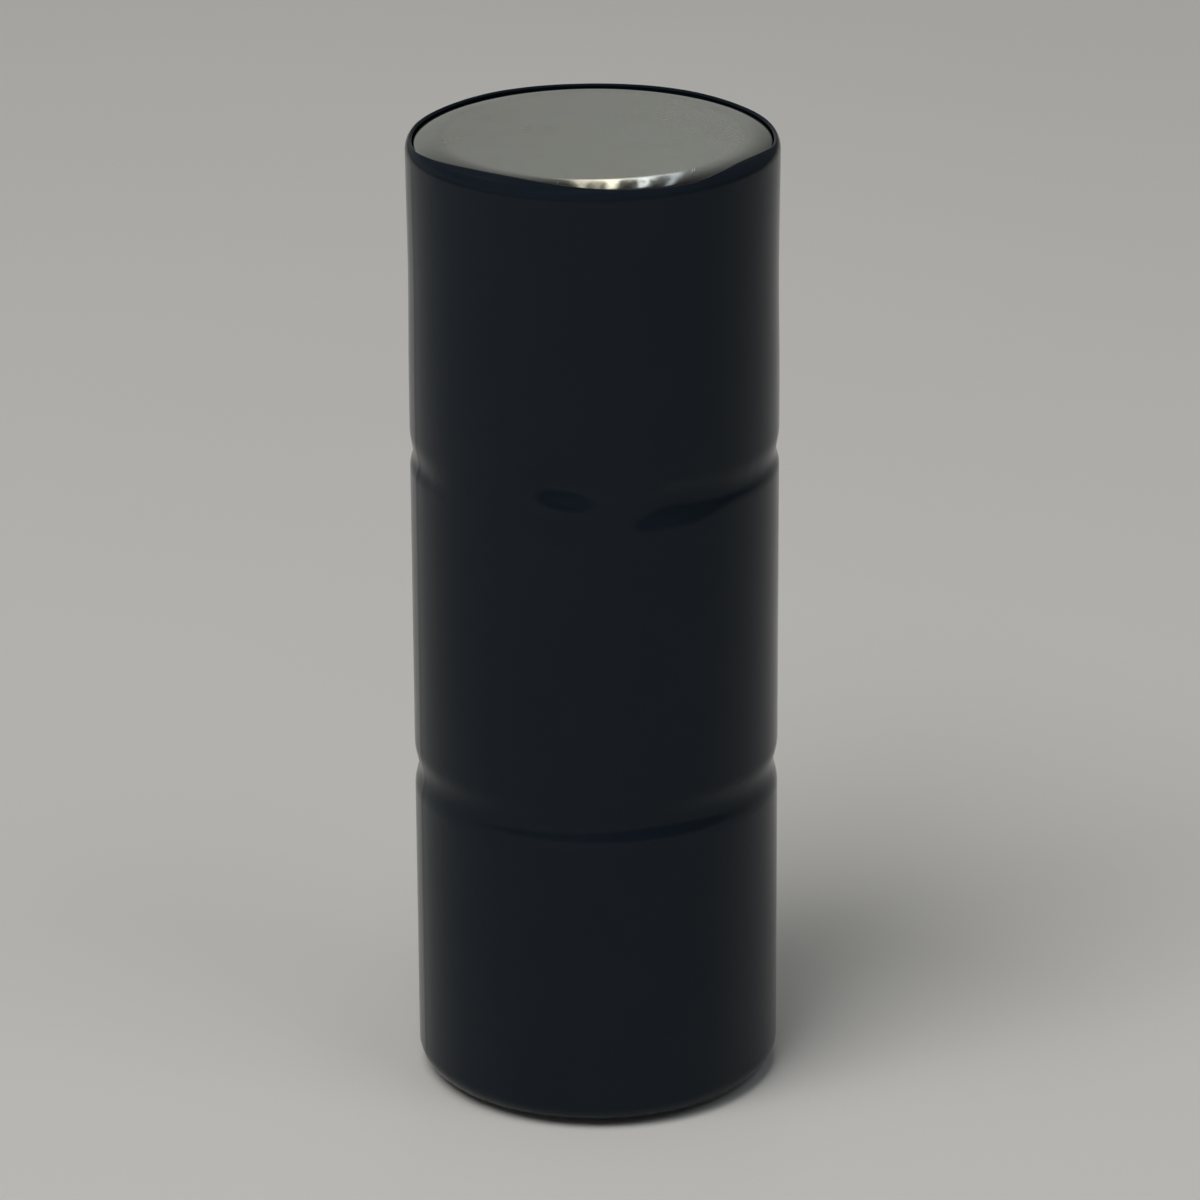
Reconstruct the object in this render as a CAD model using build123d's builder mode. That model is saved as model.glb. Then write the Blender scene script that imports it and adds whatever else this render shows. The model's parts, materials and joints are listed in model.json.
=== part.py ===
from build123d import *
import os
from math import atan, degrees, radians, sin

# A stick of three short round lithium cells, stacked in series inside one shrink sleeve.
#
# Each cell is a drawn steel can, closed end up, with its mouth crimped over a plastic gasket and a
# stepped negative cap. Inside the can, from the wall inwards, stand two pressed cathode rings, a
# separator cup, a rolled lithium anode and its collector. A folded nickel link joins each cell to
# the next, a fibre ring keeps everything off the crimped mouth, and the sleeve holds the stack.
#
# Millimetres, +Z up. The origin is the centre of the lowest cap's face, which the stick stands on.
# Pieces that lie flat on each other meet face to face, and CLEAR is left between round faces.

# --- Driving dimensions -------------------------------------------------------------------------

CELL_NAMES = ("bottom_cell", "middle_cell", "top_cell")
CELL_RADIUS = 5.8
CELL_HEIGHT = 10.45  # from the cap's face to the can's closed end
LINK_GAP = 0.3  # from one can's closed end to the next cap
CLEAR = 0.02

STEEL = 0.25  # wall of the can and of the cap
BASE_FACE_RADIUS = 4.7  # flat part of the can's closed end
BASE_CROWN = 2.2  # outer radius of the gentle bend that leaves the flat
BASE_CROWN_TURN = 20  # degrees that it turns, before the tighter corner takes over
MOUTH_CORNER = 0.65  # outer radius of the crimped mouth
MOUTH_BORE = 4.85  # radius left open by the crimp
CAP_STAND = 0.35  # how far the cap's face stands out beyond the crimped mouth

CAP_FACE_RADIUS = 4.5
CAP_SHOULDER = 0.95  # height of the cap's shoulder above its face
CAP_SKIRT_RADIUS = 5.2
CAP_SKIRT_TOP = 2.1
CAP_BENDS = (0.25, 0.15, 0.25)  # at the face, inside the shoulder and at the skirt

GASKET_EDGE = 0.5  # height of the edge that shows round the cap
GASKET_HOOK = 1.6  # where its inner leg starts, inside the cap's skirt
GASKET_BORE = 4.6
GASKET_TOP = 2.45

SUPPORT_RING_BORE = 4.3
SUPPORT_RING_TOP = 2.6
SEAL_WASHER_TOP = 2.75

INSULATOR_RADIUS = 4.6
INSULATOR_THICKNESS = 0.17
CATHODE_BORE = 3.3
CATHODE_CHAMFER = 0.4  # clears the rounded corner inside the can
SEPARATOR_WALL = 0.15
SEPARATOR_BEND = 0.3
SEPARATOR_FOOT = 2.5
ANODE_RADIUS = 3.08
ANODE_BORE = 1.05
ANODE_FOOT = 2.3
SLIT = 0.2  # in the anode and in its collector
COLLECTOR_WALL = 0.1
COLLECTOR_RADIUS = 1.0
COLLECTOR_FLANGE = 2.2
COLLECTOR_TOP = 9.3
COLLECTOR_BEND = 0.2

LINK_THICKNESS = 0.1
LINK_WIDTH = 4.0
LINK_REACH = 3.5  # from the axis to the link's ends
LINK_SLOT_LENGTH = 2.4
LINK_SLOT_WIDTH = 0.5
RING_THICKNESS = 0.1
RING_BORE = 4.6
RING_RADIUS = 5.05

SLEEVE_WALL = 0.12
SLEEVE_GAP = 0.01
SLEEVE_FOOT_BORE = 4.7  # left open round the lowest cap
SLEEVE_LIP_BEND = 0.51  # outer radius of the free edge at the top
SLEEVE_LIP_TURN = 45  # degrees that the free edge turns inwards
SLEEVE_LIP_DROP = 0.07  # from the top can's face down to the free edge
WAIST_HALF_HEIGHT = 0.97
WAIST_DEPTH = 0.13
WAIST_DROP = 0.1  # from the middle of the gap between two cans down to the waist

PITCH = CELL_HEIGHT + LINK_GAP
CELL_BOTTOMS = [i * PITCH for i in range(len(CELL_NAMES))]
STICK_HEIGHT = CELL_BOTTOMS[-1] + CELL_HEIGHT
CROWN_REACH = BASE_CROWN * sin(radians(BASE_CROWN_TURN))
CORNER_REACH = CELL_RADIUS - BASE_FACE_RADIUS - CROWN_REACH
BASE_CORNER = CORNER_REACH / (1 - sin(radians(BASE_CROWN_TURN)))  # outer radius
CAN_BORE = CELL_RADIUS - STEEL
PACK_RADIUS = CAN_BORE - CLEAR  # of what is packed in the can
ACTIVE_TOP = CELL_HEIGHT - STEEL - INSULATOR_THICKNESS

os.makedirs("parts", exist_ok=True)


def section(height):
    """The plane of a round piece's section at a height: local x is the radius and local y is up."""
    return Plane(origin=(0, 0, height), x_dir=(1, 0, 0), z_dir=(0, -1, 0))


# --- One cell. Each piece takes the height of its cell's cap face. ------------------------------


def can(bottom):
    """Drawn steel cup, closed end up, its mouth rolled in over the gasket. Its closed end leaves the
    flat in a gentle bend, which a tighter corner carries on down to the wall."""
    wall = CELL_RADIUS - STEEL / 2
    mouth = CAP_STAND + STEEL / 2
    mouth_bend = MOUTH_CORNER - STEEL / 2
    base = CELL_HEIGHT - STEEL / 2
    with BuildPart() as piece:
        with BuildSketch(section(bottom)):
            with BuildLine():
                face = Line((0, base), (BASE_FACE_RADIUS, base))
                crown = JernArc(face @ 1, face % 1, BASE_CROWN - STEEL / 2, -BASE_CROWN_TURN)
                corner = JernArc(crown @ 1, crown % 1, BASE_CORNER - STEEL / 2, BASE_CROWN_TURN - 90)
                side = Line(corner @ 1, (wall, mouth + mouth_bend))
                rim = JernArc(side @ 1, side % 1, mouth_bend, -90)
                Line(rim @ 1, (MOUTH_BORE, mouth))
            trace(line_width=STEEL)
        revolve(axis=Axis.Z)
    return piece.part


def cap(bottom):
    """Stepped negative cap: a raised face, a shoulder that the crimp presses on, and a skirt."""
    face = STEEL / 2
    face_wall = CAP_FACE_RADIUS - STEEL / 2
    shoulder = CAP_SHOULDER + STEEL / 2
    skirt = CAP_SKIRT_RADIUS - STEEL / 2
    with BuildPart() as piece:
        with BuildSketch(section(bottom)):
            with BuildLine():
                FilletPolyline(
                    (0, face),
                    (face_wall, face),
                    (face_wall, shoulder),
                    (skirt, shoulder),
                    (skirt, CAP_SKIRT_TOP),
                    radius=CAP_BENDS,
                )
            trace(line_width=STEEL)
        revolve(axis=Axis.Z)
    return piece.part


def gasket(bottom):
    """Moulded seal that fills the crimped mouth and wraps the cap's shoulder and skirt."""
    mouth = CAP_STAND + STEEL
    mouth_bend = MOUTH_CORNER - STEEL
    shoulder = CAP_SHOULDER
    shoulder_bend = CAP_BENDS[-1] + STEEL / 2 + CLEAR
    cap_wall = CAP_FACE_RADIUS + CLEAR
    skirt = CAP_SKIRT_RADIUS + CLEAR
    skirt_bore = CAP_SKIRT_RADIUS - STEEL - CLEAR
    edge = MOUTH_BORE - CLEAR
    with BuildPart() as piece:
        with BuildSketch(section(bottom)):
            with BuildLine():
                Polyline((cap_wall, shoulder), (cap_wall, GASKET_EDGE), (edge, GASKET_EDGE), (edge, mouth))
                Line((edge, mouth), (PACK_RADIUS - mouth_bend, mouth))
                JernArc((PACK_RADIUS - mouth_bend, mouth), (1, 0), mouth_bend, 90)
                Polyline(
                    (PACK_RADIUS, mouth + mouth_bend),
                    (PACK_RADIUS, GASKET_TOP),
                    (GASKET_BORE, GASKET_TOP),
                    (GASKET_BORE, GASKET_HOOK),
                    (skirt_bore, GASKET_HOOK),
                    (skirt_bore, CAP_SKIRT_TOP),
                    (skirt, CAP_SKIRT_TOP),
                    (skirt, shoulder + shoulder_bend),
                )
                JernArc((skirt, shoulder + shoulder_bend), (0, -1), shoulder_bend, -90)
                Line((skirt - shoulder_bend, shoulder), (cap_wall, shoulder))
            make_face()
        revolve(axis=Axis.Z)
    return piece.part


def washer(low, high, bore, radius):
    """Flat ring between two heights."""
    with BuildPart() as piece:
        with BuildSketch(Plane.XY.offset(low)):
            Circle(radius)
            Circle(bore, mode=Mode.SUBTRACT)
        extrude(amount=high - low)
    return piece.part


def support_ring(bottom):
    """Steel ring that the crimp presses the gasket against."""
    return washer(bottom + GASKET_TOP, bottom + SUPPORT_RING_TOP, SUPPORT_RING_BORE, PACK_RADIUS)


def seal_washer(bottom):
    """Plastic washer between the support ring and the cathode."""
    return washer(bottom + SUPPORT_RING_TOP, bottom + SEAL_WASHER_TOP, CATHODE_BORE, PACK_RADIUS)


def lower_cathode_ring(bottom):
    """Pressed ring of cathode mix, next to the seal."""
    middle = (SEAL_WASHER_TOP + ACTIVE_TOP) / 2
    return washer(bottom + SEAL_WASHER_TOP, bottom + middle, CATHODE_BORE, PACK_RADIUS)


def upper_cathode_ring(bottom):
    """Pressed ring of cathode mix, chamfered for the can's rounded corner."""
    middle = (SEAL_WASHER_TOP + ACTIVE_TOP) / 2
    with BuildPart() as piece:
        with BuildSketch(Plane.XY.offset(bottom + middle)):
            Circle(PACK_RADIUS)
            Circle(CATHODE_BORE, mode=Mode.SUBTRACT)
        extrude(amount=ACTIVE_TOP - middle)
        rims = piece.edges().filter_by(GeomType.CIRCLE).group_by(Axis.Z)[-1]
        chamfer(rims.sort_by(SortBy.RADIUS)[-1], CATHODE_CHAMFER)
    return piece.part


def separator(bottom):
    """Felted cup, open towards the cap, between the anode and the cathode."""
    wall = CATHODE_BORE - CLEAR - SEPARATOR_WALL / 2
    base = ACTIVE_TOP - SEPARATOR_WALL / 2
    with BuildPart() as piece:
        with BuildSketch(section(bottom)):
            with BuildLine():
                FilletPolyline((wall, SEPARATOR_FOOT), (wall, base), (0, base), radius=SEPARATOR_BEND)
            trace(line_width=SEPARATOR_WALL)
        revolve(axis=Axis.Z)
    return piece.part


def base_insulator(bottom):
    """Disc between the can's closed end and the cathode."""
    with BuildPart() as piece:
        with BuildSketch(Plane.XY.offset(bottom + ACTIVE_TOP)):
            Circle(INSULATOR_RADIUS)
        extrude(amount=INSULATOR_THICKNESS)
    return piece.part


def lithium_anode(bottom):
    """Lithium strip rolled into a thick tube, its two ends a slit apart."""
    top = ACTIVE_TOP - SEPARATOR_WALL
    with BuildPart() as piece:
        with BuildSketch(Plane.XY.offset(bottom + ANODE_FOOT)):
            Circle(ANODE_RADIUS)
            Circle(ANODE_BORE, mode=Mode.SUBTRACT)
            Rectangle(2 * ANODE_RADIUS, SLIT, align=(Align.MIN, Align.CENTER), mode=Mode.SUBTRACT)
        extrude(amount=top - ANODE_FOOT)
        rims = piece.edges().filter_by(GeomType.CIRCLE).group_by(Axis.Z)[-1]
        chamfer(rims.sort_by(SortBy.RADIUS)[-1], SEPARATOR_BEND)
    return piece.part


def anode_collector(bottom):
    """Slit steel eyelet: its flange is welded inside the cap, and its tube stands in the anode."""
    wall = COLLECTOR_RADIUS - COLLECTOR_WALL / 2
    flange = STEEL + COLLECTOR_WALL / 2
    with BuildPart() as piece:
        with BuildSketch(section(bottom)):
            with BuildLine():
                FilletPolyline(
                    (COLLECTOR_FLANGE, flange),
                    (wall, flange),
                    (wall, COLLECTOR_TOP),
                    radius=COLLECTOR_BEND,
                )
            trace(line_width=COLLECTOR_WALL)
        revolve(axis=Axis.Z)
        with BuildSketch(Plane.XY.offset(bottom + STEEL)):
            Rectangle(2 * COLLECTOR_FLANGE, SLIT, align=(Align.MIN, Align.CENTER))
        extrude(amount=COLLECTOR_TOP, mode=Mode.SUBTRACT)
    return piece.part


# --- What joins the cells and holds them --------------------------------------------------------


def nickel_link(can_end):
    """Strip folded flat on itself: one leaf on the can below, the other on the cap above, both slit
    between their weld spots."""
    bend = (LINK_GAP - LINK_THICKNESS) / 2
    low = LINK_THICKNESS / 2
    high = LINK_GAP - LINK_THICKNESS / 2
    with BuildPart() as piece:
        with BuildSketch(section(can_end)):
            with BuildLine():
                Line((-LINK_REACH, low), (LINK_REACH, low))
                JernArc((LINK_REACH, low), (1, 0), bend, 180)
                Line((LINK_REACH, high), (-LINK_REACH, high))
            trace(line_width=LINK_THICKNESS)
        extrude(amount=LINK_WIDTH / 2, both=True)
        with BuildSketch(Plane.XY.offset(can_end)):
            with Locations((-LINK_REACH, 0)):
                Rectangle(LINK_SLOT_LENGTH, LINK_SLOT_WIDTH, align=(Align.MIN, Align.CENTER))
        extrude(amount=LINK_GAP, mode=Mode.SUBTRACT)
    return piece.part


def insulating_ring(bottom):
    """Fibre ring that lies on a crimped mouth, round the cap."""
    mouth = bottom + CAP_STAND
    return washer(mouth - RING_THICKNESS, mouth, RING_BORE, RING_RADIUS)


def shrink_sleeve():
    """Film shrunk over the stack: folded in under the lowest can, drawn in at the joint between two
    cans, and with a free edge that leans in beside the top can's rounded corner."""
    wall = CELL_RADIUS + SLEEVE_GAP + SLEEVE_WALL / 2
    foot = CAP_STAND - RING_THICKNESS - SLEEVE_GAP - SLEEVE_WALL / 2
    foot_bend_at = CELL_RADIUS - MOUTH_CORNER
    foot_bend = wall - foot_bend_at
    lip_bend = SLEEVE_LIP_BEND - SLEEVE_WALL / 2
    lip_rise = SLEEVE_LIP_BEND * sin(radians(SLEEVE_LIP_TURN))
    lip_start = STICK_HEIGHT - SLEEVE_LIP_DROP - lip_rise
    # Each side of a waist is two equal arcs, tangent to each other and to the straight wall.
    waist_turn = 2 * atan(WAIST_DEPTH / WAIST_HALF_HEIGHT)
    waist_bend = WAIST_HALF_HEIGHT / (2 * sin(waist_turn))
    turn = degrees(waist_turn)
    with BuildPart() as piece:
        with BuildSketch(section(0)):
            with BuildLine():
                Line((SLEEVE_FOOT_BORE, foot), (foot_bend_at, foot))
                run = JernArc((foot_bend_at, foot), (1, 0), foot_bend, 90)
                for bottom in CELL_BOTTOMS[1:]:
                    gap_middle = bottom + (CAP_STAND - LINK_GAP) / 2
                    waist_start = (wall, gap_middle - WAIST_DROP - WAIST_HALF_HEIGHT)
                    Line(run @ 1, waist_start)
                    lower = JernArc(waist_start, (0, 1), waist_bend, turn)
                    neck = JernArc(lower @ 1, lower % 1, waist_bend, -2 * turn)
                    run = JernArc(neck @ 1, neck % 1, waist_bend, turn)
                Line(run @ 1, (wall, lip_start))
                JernArc((wall, lip_start), (0, 1), lip_bend, SLEEVE_LIP_TURN)
            trace(line_width=SLEEVE_WALL)
        revolve(axis=Axis.Z)
    return piece.part


# --- The stack ----------------------------------------------------------------------------------

CELL_PIECES = (
    can,
    cap,
    gasket,
    support_ring,
    seal_washer,
    lower_cathode_ring,
    upper_cathode_ring,
    separator,
    base_insulator,
    lithium_anode,
    anode_collector,
    insulating_ring,
)


def save(part, name):
    """Labels a finished piece and writes it as its own node."""
    part.label = name
    export_step(part, f"parts/{name}.step")


for cell_name, cell_bottom in zip(CELL_NAMES, CELL_BOTTOMS):
    for make_piece in CELL_PIECES:
        save(make_piece(cell_bottom), f"{cell_name}_{make_piece.__name__}")

save(nickel_link(CELL_HEIGHT), "lower_nickel_link")
save(nickel_link(PITCH + CELL_HEIGHT), "upper_nickel_link")
save(shrink_sleeve(), "shrink_sleeve")
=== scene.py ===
import json
import math

import bpy
import numpy as np
from mathutils import Matrix, Vector, noise


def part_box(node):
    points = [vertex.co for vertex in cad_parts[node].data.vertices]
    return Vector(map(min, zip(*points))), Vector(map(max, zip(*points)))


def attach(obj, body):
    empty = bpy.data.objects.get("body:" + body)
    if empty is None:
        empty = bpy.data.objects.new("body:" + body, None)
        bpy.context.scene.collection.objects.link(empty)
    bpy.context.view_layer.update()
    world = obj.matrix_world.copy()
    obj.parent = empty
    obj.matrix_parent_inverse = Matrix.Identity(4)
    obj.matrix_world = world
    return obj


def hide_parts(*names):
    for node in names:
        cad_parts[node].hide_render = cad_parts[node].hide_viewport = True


# A stick of three short cells in a black shrink sleeve, with the top can's bare end showing.
# Metres, in the model's own frame: the stick stands on z = 0 and its front faces -Y. An azimuth is
# measured from the front towards +X, and a height along +Z.

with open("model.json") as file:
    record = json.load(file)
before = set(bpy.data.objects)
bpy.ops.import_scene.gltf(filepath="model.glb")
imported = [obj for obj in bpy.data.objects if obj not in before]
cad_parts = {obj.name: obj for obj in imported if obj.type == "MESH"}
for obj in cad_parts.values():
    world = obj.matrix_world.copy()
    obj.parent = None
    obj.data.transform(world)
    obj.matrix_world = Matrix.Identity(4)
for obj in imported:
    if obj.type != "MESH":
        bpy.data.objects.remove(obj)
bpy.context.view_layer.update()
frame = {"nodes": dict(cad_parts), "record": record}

MM = 0.001
DEG = math.pi / 180

# --- Places taken from the frame ----------------------------------------------------------------

SLEEVE_LOW, SLEEVE_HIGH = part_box("shrink_sleeve")
CAN_LOW, CAN_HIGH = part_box("top_cell_can")
SLEEVE_RADIUS = SLEEVE_HIGH.x
CAN_RADIUS = CAN_HIGH.x
STICK_TOP = CAN_HIGH.z

CANS = ("bottom_cell_can", "middle_cell_can", "top_cell_can")
CAN_HEIGHTS = [(low.z, high.z) for low, high in map(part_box, CANS)]
# Middles of the two gaps between cans.
LOWER_JOINT, UPPER_JOINT = ((CAN_HEIGHTS[k][1] + CAN_HEIGHTS[k + 1][0]) / 2 for k in (0, 1))

# --- Sizes of what is modelled here -------------------------------------------------------------

AROUND = 360  # points round the film
CAN_AROUND = 512
ROW_STEP = 0.13 * MM  # height between the rows of the film's wall
LIP_ROWS = 20

FILM = 0.12 * MM
FOOT_BEND = 0.72 * MM  # radius of the film's middle where it folds in under the lowest can
FOOT_REACH = 0.45 * MM  # flat part of the fold
LIP_BEND = 0.45 * MM  # radius of the film's middle where its free edge stands off the can
LIP_STRAIGHT = 0.15 * MM  # how far it stays upright there
LIP_LENGTH = 0.345 * MM  # usual length of film above the level where the can's corner begins
LIP_THINNED = 0.055 * MM  # how much thinner the film is where it climbs furthest
# Where the lip is longer or shorter than that: extra length, azimuth and half width. In the first of
# these stretches, at the front left, it climbs over the can's shoulder and onto the crown.
LIP_SWELLS = (
    (0.540 * MM, -33 * DEG, 46 * DEG),
    (0.230 * MM, 57 * DEG, 26 * DEG),
    (-0.035 * MM, 26 * DEG, 16 * DEG),
)
EDGE_ROUNDING = 0.03 * MM  # how far the film's cut edges bulge

WAIST_DROP = 0.09 * MM  # from the middle of a joint down to the middle of its waist
WAIST_ABOVE = 0.85 * MM  # a waist's half height upwards
LOWER_WAIST_BELOW = 0.75 * MM  # and downwards
LOWER_WAIST_DEPTH = 0.119 * MM
LOWER_WAIST_TIGHT = 0.034 * MM  # extra depth to the right of the front
LOWER_WAIST_AROUND = 0.014 * MM  # extra depth round the sides and the back
UPPER_WAIST_BELOW = 0.66 * MM
UPPER_WAIST_DEPTH = 0.100 * MM
PUCKER_AT = 27 * DEG
PUCKER_HALF_WIDTH = 22 * DEG
PUCKER_DEPTH = 0.115 * MM  # extra depth
PUCKER_RISE = 0.16 * MM
PUCKER_BELOW = 0.46 * MM  # extra half height downwards
PUCKER_END_DROP = 0.20 * MM  # how far its left end dips
CREASE_NARROWING = 0.20 * MM  # less half height where the waist is a crease
DIMPLE_AT = -9.5 * DEG
DIMPLE_HALF_WIDTH = 19 * DEG
DIMPLE_RISE = 0.33 * MM  # from the middle of the waist
DIMPLE_FALL = 0.65 * MM  # per radian to the right
DIMPLE_HALF_HEIGHT = 0.5 * MM
DIMPLE_DEPTH = 0.095 * MM
TIGHT_BAND_AT = CAN_LOW.z + 5.8 * MM  # height at which the film is tightest over the top cell
TIGHT_BAND_HALF_HEIGHT = 4.2 * MM
TIGHT_BAND_DEPTH = 0.035 * MM
FLAT_FOLDS = (106 * DEG, 286 * DEG)  # edges that the tube had while it was stored flat
FLAT_FOLD_HALF_WIDTH = 0.16 * MM
FLAT_FOLD_HEIGHT = 0.01 * MM

CAN_WALL = 0.25 * MM
CAN_FACE_RADIUS = 4.7 * MM  # flat part of the closed end
CAN_CROWN = 2.64 * MM  # radius of the gentle bend that leaves the flat
CAN_CROWN_TURN = 20 * DEG
CAN_CROWN_REACH = CAN_CROWN * math.sin(CAN_CROWN_TURN)
CAN_CORNER = (CAN_RADIUS - CAN_FACE_RADIUS - CAN_CROWN_REACH) / (1 - math.sin(CAN_CROWN_TURN))
CAN_CROWN_DROP = CAN_CROWN * (1 - math.cos(CAN_CROWN_TURN))
CAN_CORNER_START = STICK_TOP - CAN_CROWN_DROP - CAN_CORNER * math.cos(CAN_CROWN_TURN)
CAN_MOUTH_CORNER = 0.65 * MM
CAN_MOUTH_LIP = 0.3 * MM  # flat part of the crimped mouth
CAN_POLE_HOLE = 0.25 * MM  # radius of the innermost ring of the can's faces
CAN_DISH = 0.004 * MM  # how far the face is dished
DENTED_RADIUS = 5.2 * MM  # middle of the dented part of the shoulder
DENTED_HALF_WIDTH = 0.5 * MM
DENT_SIZE = 0.35 * MM
DENT_DEPTH = 0.0004 * MM
SCUFF_DEPTH = 0.0016 * MM  # extra depth where the shoulder is scuffed
SCUFF_AT = 12 * DEG
SCUFF_HALF_WIDTH = 20 * DEG


# --- Mesh helpers -------------------------------------------------------------------------------


def smoothstep(low, high, value):
    """0 below low, 1 above high, smooth between."""
    t = np.clip((value - low) / (high - low), 0, 1)
    return t * t * (3 - 2 * t)


def bell(value, centre, half_width):
    """1 at the centre, falling smoothly to 0 half_width away on either side."""
    return 0.5 + 0.5 * np.cos(np.pi * np.clip((value - centre) / half_width, -1, 1))


def turned(angle):
    """An angle brought between -180 and 180 degrees."""
    return (angle + math.pi) % (2 * math.pi) - math.pi


def noise_field(points, scale, seed):
    """Smooth noise from about -1 to 1 at each point, with features about 1 / scale across."""
    shift = Vector((seed * 7.1, seed * 3.7, seed * 5.3))
    flat = points.reshape(-1, 3) * scale
    values = [noise.noise(Vector(p) + shift) for p in flat]
    return np.array(values).reshape(points.shape[:-1])


def around(azimuths, radius, height):
    """Points at these azimuths. radius and height are numbers or arrays that fit the azimuths."""
    x = radius * np.sin(azimuths)
    y = -radius * np.cos(azimuths)
    return np.stack([x, y, np.broadcast_to(height, x.shape)], axis=-1)


def mesh_from_rings(name, rings, tie_ends=False, poles=()):
    """A smooth-shaded piece from rings of points. tie_ends joins the last ring to the first; otherwise
    poles holds the two heights on the axis that close the first and the last ring."""
    count, spokes = rings.shape[:2]
    points = [tuple(p) for p in rings.reshape(-1, 3)]
    faces = []
    for row in range(count if tie_ends else count - 1):
        here, after = row * spokes, (row + 1) % count * spokes
        for spoke in range(spokes):
            beside = (spoke + 1) % spokes
            faces.append((here + spoke, here + beside, after + beside, after + spoke))
    for height, start, flip in zip(poles, (0, (count - 1) * spokes), (True, False)):
        pole = len(points)
        points.append((0, 0, height))
        for spoke in range(spokes):
            rim = (start + spoke, start + (spoke + 1) % spokes)
            faces.append((pole, *(rim[::-1] if flip else rim)))
    mesh = bpy.data.meshes.new(name)
    mesh.from_pydata(points, [], faces)
    mesh.validate()
    mesh.shade_smooth()
    piece = bpy.data.objects.new(name, mesh)
    bpy.context.scene.collection.objects.link(piece)
    return piece


# --- The shrink sleeve --------------------------------------------------------------------------


def climb(azimuth):
    """1 where the film climbs furthest over the can's shoulder, 0 where it doesn't climb."""
    return bell(azimuth, *LIP_SWELLS[0][1:])


def lip_length(azimuth):
    """How much film there is above the corner's start, with a faint ripple."""
    length = LIP_LENGTH
    for extra, at, half_width in LIP_SWELLS:
        length = length + extra * bell(azimuth, at, half_width)
    return length + 0.005 * MM * np.sin(7 * azimuth + 1.1)


def lip_on_can(length):
    """Middle of the film this far along from the corner's start, where it lies on the can: its radius,
    its height and the angle of its outward direction above the horizontal."""
    middle = SLEEVE_RADIUS - FILM / 2
    off_can = middle - CAN_RADIUS
    handover = math.pi / 2 - CAN_CROWN_TURN
    corner, crown = CAN_CORNER + off_can, CAN_CROWN + off_can
    corner_angle = np.minimum(length / corner, handover)
    crown_angle = np.maximum(length - corner * handover, 0) / crown
    angle = corner_angle + crown_angle
    radius = middle - corner + corner * np.cos(corner_angle)
    radius = radius - crown * (math.cos(handover) - np.cos(handover + crown_angle))
    height = CAN_CORNER_START + corner * np.sin(corner_angle)
    height = height + crown * (np.sin(handover + crown_angle) - math.sin(handover))
    return np.stack([radius, height, angle])


def lip_off_can(length):
    """The same where it stands off the can: upright, then leaning in."""
    angle = np.maximum(length - LIP_STRAIGHT, 0) / LIP_BEND
    radius = SLEEVE_RADIUS - FILM / 2 - LIP_BEND * (1 - np.cos(angle))
    height = CAN_CORNER_START + np.minimum(length, LIP_STRAIGHT) + LIP_BEND * np.sin(angle)
    return np.stack([radius, height, angle])


def film_path(azimuth):
    """Middle of the film from the inner edge of its foot to its free edge at the top: radius, height and
    the outward direction's radius and height parts, each by row and azimuth."""
    middle = SLEEVE_RADIUS - FILM / 2
    foot = SLEEVE_LOW.z + FILM / 2
    bend_at = middle - FOOT_BEND
    rows = [(r, foot, -math.pi / 2) for r in np.linspace(bend_at - FOOT_REACH, bend_at, 8)[:-1]]
    for angle in np.linspace(-math.pi / 2, 0, 16)[:-1]:
        rows.append((bend_at + FOOT_BEND * math.cos(angle), foot + FOOT_BEND * (1 + math.sin(angle)), angle))
    wall_start = foot + FOOT_BEND
    wall_rows = round((CAN_CORNER_START - wall_start) / ROW_STEP)
    rows += [(middle, z, 0) for z in np.linspace(wall_start, CAN_CORNER_START, wall_rows)[:-1]]
    path = [np.stack([np.full_like(azimuth, value) for value in row]) for row in rows]
    # The film stands off the can all along the back, and a little at the sides.
    away = np.abs(azimuth)
    stand = 0.4 * smoothstep(62 * DEG, 84 * DEG, away) + 0.6 * smoothstep(122 * DEG, 150 * DEG, away)
    for share in np.linspace(0, 1, LIP_ROWS):
        length = share * lip_length(azimuth)
        path.append((1 - stand) * lip_on_can(length) + stand * lip_off_can(length))
    radius, height, angle = np.stack(path, axis=1)
    return radius, height, np.cos(angle), np.sin(angle)


def waist(height, centre, depth, above, below):
    """How far the film is drawn in at a height, round a centre line. above and below are the waist's
    half heights on either side."""
    away = height - centre
    half = np.where(away > 0, above, below)
    return depth * bell(away / half, 0, 1)


def lower_waist(azimuth, height):
    """Even waist between the bottom and the middle cell, tightest to the right of the front."""
    centre = LOWER_JOINT - WAIST_DROP
    wander = 0.02 * MM * np.sin(2 * azimuth + 0.7) + 0.012 * MM * np.sin(5 * azimuth)
    depth = LOWER_WAIST_DEPTH + LOWER_WAIST_TIGHT * bell(azimuth, 26 * DEG, 36 * DEG)
    depth = depth + LOWER_WAIST_AROUND * smoothstep(40 * DEG, 90 * DEG, np.abs(azimuth + 20 * DEG))
    return waist(height, centre + wander, depth, WAIST_ABOVE, LOWER_WAIST_BELOW)


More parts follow.
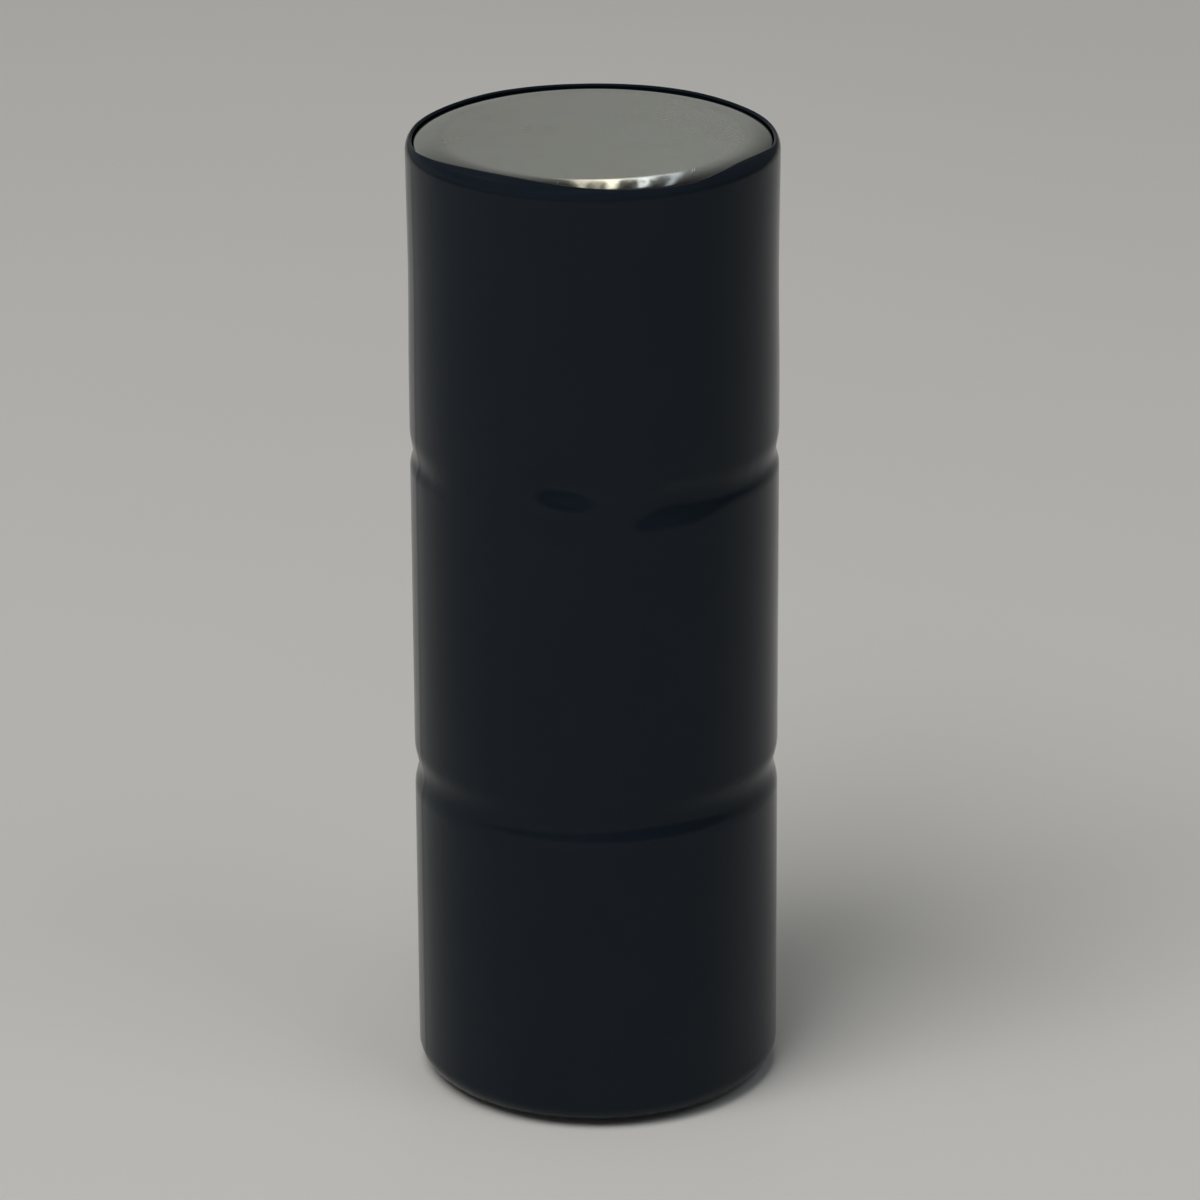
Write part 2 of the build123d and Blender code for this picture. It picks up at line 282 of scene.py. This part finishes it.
def upper_waist(azimuth, height):
    """Waist between the middle and the top cell. At the front left the film spans the joint almost
    straight and holds one dimple. To the right of it a deep pucker narrows to a crease."""
    centre = UPPER_JOINT - WAIST_DROP
    slack = smoothstep(-74 * DEG, -48 * DEG, azimuth) * (1 - smoothstep(6 * DEG, 18 * DEG, azimuth))
    pucker = bell(azimuth, PUCKER_AT, PUCKER_HALF_WIDTH)
    depth = UPPER_WAIST_DEPTH * (1 - slack) + PUCKER_DEPTH * pucker
    rise = PUCKER_RISE * pucker - PUCKER_END_DROP * bell(azimuth, 12 * DEG, 12 * DEG)
    creased = smoothstep(34 * DEG, 52 * DEG, np.abs(azimuth))
    below = UPPER_WAIST_BELOW + PUCKER_BELOW * pucker - CREASE_NARROWING * creased
    drawn = waist(height, centre + rise, depth, WAIST_ABOVE, below)
    # The dimple's upper half is pressed in and its lower half stands out.
    off = azimuth - DIMPLE_AT
    half = DIMPLE_HALF_HEIGHT
    from_dimple = height - (centre + DIMPLE_RISE - DIMPLE_FALL * off)
    dimple = bell(from_dimple, half, 2 * half) - bell(from_dimple, -half, 2 * half)
    return drawn + DIMPLE_DEPTH * bell(off, 0, DIMPLE_HALF_WIDTH) * dimple


def film_relief(azimuth, height, points):
    """How far the film lies out from its smooth shape, everywhere on it."""
    near_joint = bell(height, LOWER_JOINT, 1.3 * MM) + bell(height, UPPER_JOINT, 1.3 * MM)
    near_lip = smoothstep(STICK_TOP - 1.4 * MM, STICK_TOP, height)
    near_foot = 1 - smoothstep(0.2 * MM, 1.3 * MM, height)
    # Short upright puckers beside the two joints and the film's two ends.
    upright = points * np.array([1, 1, 0.3])
    puckers = noise_field(upright, 1 / (0.45 * MM), 1)
    peel = noise_field(points, 1 / (1.3 * MM), 2)
    swell = noise_field(points * np.array([1, 1, 0.5]), 1 / (6 * MM), 3)
    relief = (0.004 * near_joint + 0.004 * near_lip + 0.010 * near_foot) * MM * puckers
    relief += 0.0010 * MM * peel + 0.008 * MM * swell
    # The film sits a little tighter over the middle of the top cell.
    relief -= TIGHT_BAND_DEPTH * bell(height, TIGHT_BAND_AT, TIGHT_BAND_HALF_HEIGHT)
    for fold in FLAT_FOLDS:
        off = turned(azimuth - fold) * SLEEVE_RADIUS
        relief += FLAT_FOLD_HEIGHT * np.exp(-((off / FLAT_FOLD_HALF_WIDTH) ** 2)) * (1 - near_lip)
    return relief - lower_waist(azimuth, height) - upper_waist(azimuth, height)


def cans_beside(height):
    """Radius that the cans reach at a height along the film's wall, 0 where there is no can beside it.
    A can's closed end is rounded almost as its mouth is."""
    corner = CAN_MOUTH_CORNER
    reach = np.zeros_like(height)
    for low, high in CAN_HEIGHTS:
        into_corner = np.maximum(np.maximum(low - height, height - high) + corner, 0)
        rounded = CAN_RADIUS - corner + np.sqrt(np.maximum(corner**2 - into_corner**2, 0))
        reach = np.where(into_corner < corner, rounded, reach)
    along_wall = (height > FOOT_BEND + FILM) & (height < CAN_CORNER_START)
    return np.where(along_wall, reach, 0)


def sleeve_film():
    """The sleeve as one closed film: outer face, free edge, inner face, foot edge."""
    azimuth = turned(np.linspace(0, 2 * math.pi, AROUND, endpoint=False))
    radius, height, out, up = film_path(azimuth)
    azimuth = azimuth[None, :]
    count = len(radius)
    relief = film_relief(azimuth, height, around(azimuth, radius, height))
    # How far the foot reaches in wanders a little.
    circle = around(azimuth, SLEEVE_RADIUS, 0.0)
    at_foot = 1 - smoothstep(0, 8, np.arange(count))[:, None]
    foot_wander = 0.07 * MM * noise_field(circle, 1 / (1.6 * MM), 5) * at_foot
    # Where it climbs over the can's shoulder it is stretched thin.
    near_edge = smoothstep(count - 18, count - 6, np.arange(count))[:, None]
    thinned = LIP_THINNED * climb(azimuth) * near_edge

    def side(offset, rows):
        """One face of the film, this far out from its middle."""
        away = relief[rows] + offset - thinned[rows] * (0.5 + offset / FILM)
        r = radius[rows] + out[rows] * away + foot_wander[rows]
        z = height[rows] + up[rows] * away
        # Where the film is drawn in over a can it gets thinner, and never cuts into the can.
        return around(azimuth, np.maximum(r, cans_beside(z)), z)

    def edge(row, sign):
        """Rounded cut edge: rings that turn from the outer face to the inner one, past this row."""
        rings = []
        for turn in np.linspace(0, math.pi, 5)[1:-1]:
            ring = side(math.cos(turn) * FILM / 2, [row])
            bulge = sign * math.sin(turn) * EDGE_ROUNDING
            rings.append(ring + around(azimuth, -up[row] * bulge, out[row] * bulge))
        return np.concatenate(rings)

    last = count - 1
    outer_rows = np.arange(count)
    # Inside, the film is only seen at its two ends, so the middle of each cell's wall is coarser.
    from_joint = np.minimum(np.abs(height[:, 0] - LOWER_JOINT), np.abs(height[:, 0] - UPPER_JOINT))
    fine = (outer_rows < 30) | (outer_rows > last - 16) | (from_joint < 1.6 * MM)
    inner_rows = outer_rows[fine | (outer_rows % 4 == 0)][::-1]
    rings = np.concatenate([
        side(FILM / 2, outer_rows),
        edge(last, 1),
        side(-FILM / 2, inner_rows),
        edge(0, -1)[::-1],
    ])
    return mesh_from_rings("sleeve_film", rings, tie_ends=True)


# --- The top can --------------------------------------------------------------------------------


def bend(start, radius, turns):
    """Outline points round a bend, as (radius, height). It begins at start with the surface facing the
    first of these turns, angles above the horizontal, and goes on to the last of them."""
    out, up = math.cos(turns[0]), math.sin(turns[0])
    centre = (start[0] - radius * out, start[1] - radius * up)
    return [(centre[0] + radius * math.cos(a), centre[1] + radius * math.sin(a)) for a in turns]


def closed_end(inset):
    """Outline of the can's closed end from the flat to the wall, this far in from its outer face."""
    handover = math.pi / 2 - CAN_CROWN_TURN
    start = (CAN_FACE_RADIUS, STICK_TOP - inset)
    crown = bend(start, CAN_CROWN - inset, np.linspace(math.pi / 2, handover, 18))
    return crown + bend(crown[-1], CAN_CORNER - inset, np.linspace(handover, 0, 14))[1:]


def top_can():
    """Drawn can with a bare closed end. Drawing left its face very slightly dished, and handling has
    left small dents on its shoulder."""
    mouth = CAN_LOW.z
    mouth_at = CAN_RADIUS - CAN_MOUTH_CORNER
    face_radii = np.linspace(CAN_POLE_HOLE, CAN_FACE_RADIUS, 20)[:-1]
    outside = [(r, STICK_TOP) for r in face_radii] + closed_end(0)
    downward = np.linspace(0, -math.pi / 2, 8)
    outline = outside + bend((CAN_RADIUS, mouth + CAN_MOUTH_CORNER), CAN_MOUTH_CORNER, downward)
    outline += [(mouth_at - CAN_MOUTH_LIP, mouth), (mouth_at - CAN_MOUTH_LIP, mouth + CAN_WALL)]
    inner = CAN_MOUTH_CORNER - CAN_WALL
    outline += bend((mouth_at, mouth + CAN_WALL), inner, downward[::-1])
    outline += closed_end(CAN_WALL)[::-1] + [(CAN_POLE_HOLE, STICK_TOP - CAN_WALL)]
    radius, height = (np.array(outline)[:, k][:, None] for k in range(2))
    azimuth = turned(np.linspace(0, 2 * math.pi, CAN_AROUND, endpoint=False))[None, :]
    points = around(azimuth, radius, height)
    is_outside = (np.arange(len(outline)) < len(outside))[:, None]
    on_shoulder = is_outside * bell(radius, DENTED_RADIUS, DENTED_HALF_WIDTH)
    depth = DENT_DEPTH + SCUFF_DEPTH * bell(azimuth, SCUFF_AT, SCUFF_HALF_WIDTH)
    dents = noise_field(points, 1 / DENT_SIZE, 6) * on_shoulder * depth
    dish = is_outside * CAN_DISH * np.clip(1 - (radius / CAN_FACE_RADIUS) ** 2, 0, 1)
    points[..., 2] += dents - dish
    # From the inside to the outside, so that the faces look outwards.
    return mesh_from_rings("top_can", points[::-1], poles=(STICK_TOP - CAN_WALL, STICK_TOP - CAN_DISH))


# --- Materials ----------------------------------------------------------------------------------


class Paint:
    """A material with one Principled shader, and the few nodes that vary it over the surface."""

    def __init__(self, name, color, roughness, **sockets):
        self.material = bpy.data.materials.new(name)
        self.material.use_nodes = True
        self.tree = self.material.node_tree
        self.shader = self.tree.nodes["Principled BSDF"]
        self.coordinates = self.tree.nodes.new("ShaderNodeTexCoord").outputs["Object"]
        self.shader.inputs["Base Color"].default_value = (*color, 1)
        self.shader.inputs["Roughness"].default_value = roughness
        for socket, value in sockets.items():
            self.shader.inputs[socket.replace("_", " ")].default_value = value

    def link(self, source, target):
        self.tree.links.new(source, target)

    def place(self, stretch, turn=0.0):
        """Object coordinates, scaled by axis so that a texture is drawn out along one of them."""
        mapping = self.tree.nodes.new("ShaderNodeMapping")
        mapping.inputs["Scale"].default_value = stretch
        mapping.inputs["Rotation"].default_value = (0, 0, turn)
        self.link(self.coordinates, mapping.inputs["Vector"])
        return mapping.outputs["Vector"]

    def noise(self, size, detail=3.0, roughness=0.5, stretch=(1, 1, 1), turn=0.0):
        """Noise with features about this size, in metres."""
        node = self.tree.nodes.new("ShaderNodeTexNoise")
        node.inputs["Scale"].default_value = 1 / size
        node.inputs["Detail"].default_value = detail
        node.inputs["Roughness"].default_value = roughness
        self.link(self.place(stretch, turn), node.inputs["Vector"])
        return node.outputs["Fac"]

    def from_axis(self):
        """Distance from the stick's axis."""
        flat = self.tree.nodes.new("ShaderNodeVectorMath")
        flat.operation = "MULTIPLY"
        flat.inputs[1].default_value = (1, 1, 0)
        self.link(self.coordinates, flat.inputs[0])
        length = self.tree.nodes.new("ShaderNodeVectorMath")
        length.operation = "LENGTH"
        self.link(flat.outputs["Vector"], length.inputs[0])
        return length.outputs["Value"]

    def specks(self, spacing, size):
        """1 inside small scattered specks, 0 elsewhere."""
        node = self.tree.nodes.new("ShaderNodeTexVoronoi")
        node.inputs["Scale"].default_value = 1 / spacing
        self.link(self.coordinates, node.inputs["Vector"])
        return self.remap(node.outputs["Distance"], size / spacing, 0.6 * size / spacing, 0, 1)

    def remap(self, value, low, high, to_low, to_high):
        """value stretched from one range to another and held inside it."""
        node = self.tree.nodes.new("ShaderNodeMapRange")
        for socket, number in zip(("From Min", "From Max", "To Min", "To Max"), (low, high, to_low, to_high)):
            node.inputs[socket].default_value = number
        self.link(value, node.inputs["Value"])
        return node.outputs["Result"]

    def times(self, first, second):
        node = self.tree.nodes.new("ShaderNodeMath")
        node.operation = "MULTIPLY"
        self.link(first, node.inputs[0])
        self.link(second, node.inputs[1])
        return node.outputs["Value"]

    def mix(self, share, first, second):
        """Colour between two colours, or between a socket and a colour."""
        node = self.tree.nodes.new("ShaderNodeMix")
        node.data_type = "RGBA"
        self.link(share, node.inputs["Factor"])
        for socket, color in ((node.inputs[6], first), (node.inputs[7], second)):
            if isinstance(color, tuple):
                socket.default_value = (*color, 1)
            else:
                self.link(color, socket)
        return node.outputs[2]

    def color(self, source):
        self.link(source, self.shader.inputs["Base Color"])
        return self

    def roughness(self, source):
        self.link(source, self.shader.inputs["Roughness"])
        return self

    def bump(self, *layers):
        """Relief from (height, depth in metres) layers, each on top of the one before."""
        normal = None
        for height, depth in layers:
            node = self.tree.nodes.new("ShaderNodeBump")
            node.inputs["Strength"].default_value = 1.0
            node.inputs["Distance"].default_value = depth
            self.link(height, node.inputs["Height"])
            if normal is not None:
                self.link(normal, node.inputs["Normal"])
            normal = node.outputs["Normal"]
        self.link(normal, self.shader.inputs["Normal"])
        return self


def film_paint():
    """Glossy black film: almost even, with faint handling haze, draw lines and a few dust specks."""
    black, haze_black = (0.0084, 0.0136, 0.0205), (0.0106, 0.0160, 0.0230)
    paint = Paint("sleeve_film", black, 0.14, Specular_IOR_Level=0.115)
    haze = paint.noise(3.2 * MM, detail=5, roughness=0.6)
    lines = paint.noise(0.25 * MM, detail=2, stretch=(1, 1, 0.02))
    dust = paint.specks(4.2 * MM, 0.06 * MM)
    body = paint.mix(paint.remap(haze, 0.2, 0.8, 0, 1), black, haze_black)
    paint.color(paint.mix(dust, body, (0.30, 0.29, 0.27)))
    paint.roughness(paint.remap(haze, 0.2, 0.8, 0.11, 0.22))
    return paint.bump((lines, 0.0006 * MM), (paint.noise(0.9 * MM, detail=1), 0.0015 * MM))


def nickel_paint(name, color, grain, smear):
    """Satin nickel plate: rolling grain one way, soft smears, and fine scratches every way."""
    paint = Paint(name, color, 0.2, Metallic=1.0)
    rolled = paint.noise(0.06 * MM, detail=3, stretch=(0.03, 1, 1), turn=12 * DEG)
    smears = paint.noise(2.2 * MM, detail=4, roughness=0.55)
    blotch = paint.noise(0.8 * MM, detail=5, roughness=0.7, stretch=(0.5, 1, 1))
    dull = tuple(0.88 * part for part in color)
    paint.color(paint.mix(paint.remap(smears, 0.35, 0.7, 0, 1), color, dull))
    worn = paint.times(paint.remap(smears, 0.3, 0.75, 0.6, 1.0), paint.remap(blotch, 0.3, 0.8, smear, 0.34))
    # Drawing burnished the shoulder.
    burnish = paint.remap(paint.from_axis(), CAN_FACE_RADIUS, CAN_FACE_RADIUS + 0.25 * MM, 1.0, 0.35)
    paint.roughness(paint.times(worn, burnish))
    scratches = paint.noise(0.045 * MM, detail=2, stretch=(1, 0.02, 1), turn=-31 * DEG)
    deep = paint.remap(scratches, 0.68, 0.78, 0, 1)
    return paint.bump((rolled, grain), (deep, -0.0006 * MM))


def strip_paint(name, color, roughness, across):
    """Rolled metal strip, its grain along one axis, with dull stains."""
    paint = Paint(name, color, roughness, Metallic=1.0)
    grain = paint.noise(0.05 * MM, detail=3, stretch=across)
    stain = paint.noise(1.1 * MM, detail=4, roughness=0.65)
    paint.color(paint.mix(paint.remap(stain, 0.45, 0.75, 0, 1), color, tuple(0.6 * part for part in color)))
    paint.roughness(paint.remap(stain, 0.3, 0.75, roughness, roughness + 0.2))
    return paint.bump((grain, 0.0015 * MM))


def seal_paint():
    """Moulded seal plastic: milky grey, slightly waxy, with faint flow marks."""
    paint = Paint("seal_plastic", (0.62, 0.62, 0.58), 0.42, Subsurface_Weight=0.15, Subsurface_Scale=0.3 * MM)
    flow = paint.noise(0.9 * MM, detail=4, stretch=(1, 1, 0.4))
    paint.color(paint.mix(paint.remap(flow, 0.35, 0.7, 0, 1), (0.66, 0.66, 0.62), (0.52, 0.52, 0.47)))
    paint.roughness(paint.remap(flow, 0.3, 0.7, 0.36, 0.55))
    return paint.bump((paint.noise(0.12 * MM, detail=2), 0.002 * MM))


def cathode_paint():
    """Pressed black powder with grey grains that glint."""
    paint = Paint("cathode_mix", (0.022, 0.022, 0.024), 0.75)
    grains = paint.noise(0.09 * MM, detail=4, roughness=0.7)
    glint = paint.specks(0.22 * MM, 0.05 * MM)
    powder = paint.mix(paint.remap(grains, 0.35, 0.7, 0, 1), (0.014, 0.014, 0.016), (0.045, 0.044, 0.044))
    paint.color(paint.mix(glint, powder, (0.16, 0.16, 0.17)))
    paint.roughness(paint.remap(grains, 0.3, 0.7, 0.6, 0.9))
    return paint.bump((grains, 0.02 * MM))


def felt_paint():
    """White non-woven felt: fibres that lie every way."""
    paint = Paint("separator_felt", (0.8, 0.8, 0.77), 0.9, Sheen_Weight=0.25)
    one_way = paint.noise(0.05 * MM, detail=2, stretch=(0.08, 1, 1), turn=38 * DEG)
    other_way = paint.noise(0.05 * MM, detail=2, stretch=(1, 0.08, 0.2), turn=-24 * DEG)
    fibres = paint.times(one_way, other_way)
    paint.color(paint.mix(paint.remap(fibres, 0.12, 0.38, 0, 1), (0.62, 0.62, 0.58), (0.86, 0.86, 0.83)))
    paint.roughness(paint.remap(one_way, 0.3, 0.7, 0.8, 0.96))
    return paint.bump((fibres, 0.02 * MM))


def fibre_paint():
    """Grey-green insulating board with pressed-in fibres."""
    paint = Paint("fibre_board", (0.42, 0.47, 0.38), 0.8)
    fibres = paint.noise(0.07 * MM, detail=4, roughness=0.65, stretch=(0.25, 1, 1), turn=20 * DEG)
    cloud = paint.noise(1.4 * MM, detail=3)
    ground = paint.mix(paint.remap(cloud, 0.35, 0.7, 0, 1), (0.36, 0.42, 0.33), (0.47, 0.51, 0.41))
    paint.color(paint.mix(paint.remap(fibres, 0.58, 0.72, 0, 1), ground, (0.62, 0.62, 0.52)))
    paint.roughness(paint.remap(fibres, 0.3, 0.7, 0.7, 0.9))
    return paint.bump((fibres, 0.006 * MM))


def lithium_paint():
    """Soft rolled metal, silvery where fresh and dull grey where it has tarnished."""
    paint = Paint("lithium", (0.5, 0.5, 0.52), 0.45, Metallic=1.0)
    tarnish = paint.noise(1.3 * MM, detail=6, roughness=0.65)
    share = paint.remap(tarnish, 0.42, 0.62, 0, 1)
    paint.color(paint.mix(share, (0.62, 0.62, 0.63), (0.2, 0.2, 0.22)))
    paint.roughness(paint.remap(tarnish, 0.35, 0.65, 0.32, 0.7))
    rolled = paint.noise(0.08 * MM, detail=2, stretch=(1, 1, 0.05))
    return paint.bump((rolled, 0.004 * MM), (tarnish, 0.01 * MM))


def floor_paint():
    """Plain pale matt board."""
    paint = Paint("floor_board", (0.78, 0.775, 0.76), 0.85, Specular_IOR_Level=0.2)
    cloud = paint.noise(60 * MM, detail=2)
    paint.color(paint.mix(paint.remap(cloud, 0.3, 0.7, 0, 1), (0.77, 0.765, 0.75), (0.79, 0.785, 0.77)))
    return paint.bump((paint.noise(0.6 * MM, detail=3), 0.008 * MM))


PAINTS = {
    "sleeve_film": film_paint(),
    "nickel_plated_steel": nickel_paint("nickel_plated_steel", (0.60, 0.605, 0.56), 0.0006 * MM, 0.24),
    "nickel_plated_cap": nickel_paint("nickel_plated_cap", (0.64, 0.625, 0.57), 0.0008 * MM, 0.28),
    "bare_steel": strip_paint("bare_steel", (0.42, 0.42, 0.43), 0.38, (0.05, 1, 1)),
    "nickel_strip": strip_paint("nickel_strip", (0.62, 0.58, 0.50), 0.3, (0.04, 1, 1)),
    "seal_plastic": seal_paint(),
    "cathode_mix": cathode_paint(),
    "separator_felt": felt_paint(),
    "fibre_board": fibre_paint(),
    "lithium": lithium_paint(),
}

# --- Pieces on the stick ------------------------------------------------------------------------


def dress(piece, slot):
    """Gives a piece its one material."""
    piece.data.materials.clear()
    piece.data.materials.append(PAINTS[slot].material)


for part in frame["record"]["subparts"]:
    dress(frame["nodes"][part["node"]], part["material_slot"])

for piece, node, slot in (
    (sleeve_film(), "shrink_sleeve", "sleeve_film"),
    (top_can(), "top_cell_can", "nickel_plated_steel"),
):
    dress(piece, slot)
    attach(piece, "root")
    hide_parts(node)

# --- Stage, light and camera --------------------------------------------------------------------

FLOOR_RADIUS = 4.0
ROOM_DIM, ROOM_BRIGHT = 0.02, 0.28  # brightness of the room away from its grey band, and in it
STRIP_DISTANCE = 0.60
STRIP_WIDTH = 0.007
STRIP_LOW, STRIP_HIGH = 25.5, 53  # elevations of a strip light's two ends, in degrees
# How far a strip's two ends lie to one side, as a share of the azimuth where it shows on the shoulder.
# Its low end shows on the shoulder's gentlest part, which hardly turns reflections aside.
SPREAD_LOW, SPREAD_HIGH = 0.05, 0.55
# Where each strip shows on the shoulder, in degrees, its radiance and its colour.
STRIPS = {
    "strip_a": (-3.5, 1.2, (1.0, 0.94, 0.80)),
    "strip_ab": (1.0, 0.6, (1.0, 0.94, 0.80)),
    "strip_b": (5.5, 2.4, (1.0, 0.95, 0.78)),
    "strip_c": (16.0, 2.2, (0.93, 0.97, 1.0)),
    "strip_d": (27.0, 1.0, (0.80, 0.90, 1.0)),
}
# Azimuth, elevation, distance, width, depth, radiance and colour. They light the stick but don't show
# in its gloss.
SOFT_LIGHTS = {
    "key_left": (-38, 60, 0.50, 0.30, 0.30, 4.6, (1.0, 0.985, 0.96)),
    "fill_right": (55, 50, 0.60, 0.30, 0.30, 1.2, (0.90, 0.95, 1.0)),
    "overhead": (0, 88, 0.60, 0.17, 0.17, 3.2, (1.0, 0.96, 0.88)),
}
CAMERA_LENS = 185.2
CAMERA_AT = (0.15 * MM, -186.8 * MM, 88.35 * MM)
CAMERA_DOWN = 21.12 * DEG
CAMERA_ROLL = -0.31 * DEG


def floor():
    """A wide pale board under the stick."""
    points = around(np.linspace(0, 2 * math.pi, 64, endpoint=False), FLOOR_RADIUS, -0.01 * MM)
    mesh = bpy.data.meshes.new("floor")
    mesh.from_pydata([tuple(p) for p in points], [], [tuple(range(len(points)))])
    board = bpy.data.objects.new("floor", mesh)
    bpy.context.scene.collection.objects.link(board)
    mesh.materials.append(floor_paint().material)


def softbox(name, azimuth, elevation, distance, width, depth, radiance, color, lean=0.0):
    """An area light aimed at the stick, with its brightness given as radiance, leaning in its own plane."""
    a, e = azimuth * DEG, elevation * DEG
    centre = Vector((0, 0, STICK_TOP / 2))
    toward = Vector((math.sin(a) * math.cos(e), -math.cos(a) * math.cos(e), math.sin(e)))
    lamp = bpy.data.lights.new(name, "AREA")
    lamp.shape = "RECTANGLE"
    lamp.size, lamp.size_y = width, depth
    lamp.energy = radiance * math.pi * width * depth
    lamp.color = color
    holder = bpy.data.objects.new(name, lamp)
    holder.location = centre + toward * distance
    aim = toward.to_track_quat("Z", "Y").to_matrix() @ Matrix.Rotation(lean * DEG, 3, "Z")
    holder.rotation_euler = aim.to_euler()
    holder.visible_camera = False
    bpy.context.scene.collection.objects.link(holder)
    return holder


def strip(name, shoulder_azimuth, radiance, color):
    """A narrow light behind the stick that shows on the front of the top can's shoulder at this azimuth.
    It leans so that it shows upright there."""
    low_across, high_across = SPREAD_LOW * shoulder_azimuth, SPREAD_HIGH * shoulder_azimuth
    middle, across = 0.5 * (STRIP_LOW + STRIP_HIGH), 0.5 * (low_across + high_across)
    upward = STRIP_HIGH - STRIP_LOW
    sideways = (high_across - low_across) * math.cos(middle * DEG)
    lean = math.atan2(sideways, upward) / DEG
    length = 2 * STRIP_DISTANCE * math.tan(upward / 2 * DEG)
    softbox(name, 180 - across, middle, STRIP_DISTANCE, STRIP_WIDTH, length, radiance, color, lean)


def surroundings():
    """A dim room with a grey band round it above the floor. The band is missing low down at the front.
    On the right it reaches higher and is dimmer."""
    world = bpy.data.worlds.new("room")
    bpy.context.scene.world = world
    world.use_nodes = True
    tree = world.node_tree
    direction = tree.nodes.new("ShaderNodeSeparateXYZ")
    tree.links.new(tree.nodes.new("ShaderNodeTexCoord").outputs["Generated"], direction.inputs[0])

    def ramp(source, low, high, to_low, to_high):
        node = tree.nodes.new("ShaderNodeMapRange")
        for socket, number in zip(("From Min", "From Max", "To Min", "To Max"), (low, high, to_low, to_high)):
            node.inputs[socket].default_value = number
        tree.links.new(source, node.inputs["Value"])
        return node.outputs["Result"]

    def combine(operation, first, second):
        node = tree.nodes.new("ShaderNodeMath")
        node.operation = operation
        tree.links.new(first, node.inputs[0])
        tree.links.new(second, node.inputs[1])
        return node.outputs["Value"]

    above_low = ramp(direction.outputs["Z"], 0.17, 0.25, 0, 1)
    behind = ramp(direction.outputs["Y"], 0.0, 0.5, 0, 1)
    to_right = ramp(direction.outputs["X"], 0, 0.1, 0, 0.1)
    below_high = ramp(combine("SUBTRACT", direction.outputs["Z"], to_right), 0.30, 0.66, 1, 0)
    band = combine("MULTIPLY", combine("MAXIMUM", above_low, behind), below_high)
    band = combine("MULTIPLY", band, ramp(direction.outputs["X"], 0.08, 0.25, 1, 0.35))
    # A soft glow straight overhead.
    band = combine("MAXIMUM", band, ramp(direction.outputs["Z"], 0.95, 0.99, 0, 0.7))
    background = tree.nodes["Background"]
    background.inputs["Color"].default_value = (0.98, 1.0, 0.97, 1)
    tree.links.new(ramp(band, 0, 1, ROOM_DIM, ROOM_BRIGHT), background.inputs["Strength"])


def camera():
    """Looks down at the stick from the front, close enough for a little perspective."""
    lens = bpy.data.cameras.new("camera")
    lens.lens = CAMERA_LENS
    lens.sensor_width = 36
    lens.clip_start = 1 * MM
    lens.clip_end = 20
    holder = bpy.data.objects.new("camera", lens)
    holder.location = CAMERA_AT
    tilt = Matrix.Rotation(90 * DEG - CAMERA_DOWN, 3, "X") @ Matrix.Rotation(CAMERA_ROLL, 3, "Z")
    holder.rotation_euler = tilt.to_euler()
    bpy.context.scene.collection.objects.link(holder)
    bpy.context.scene.camera = holder


floor()
surroundings()
for name, light in SOFT_LIGHTS.items():
    softbox(name, *light).visible_glossy = False
for name, light in STRIPS.items():
    strip(name, *light)
camera()
bpy.context.scene.view_settings.view_transform = "Standard"
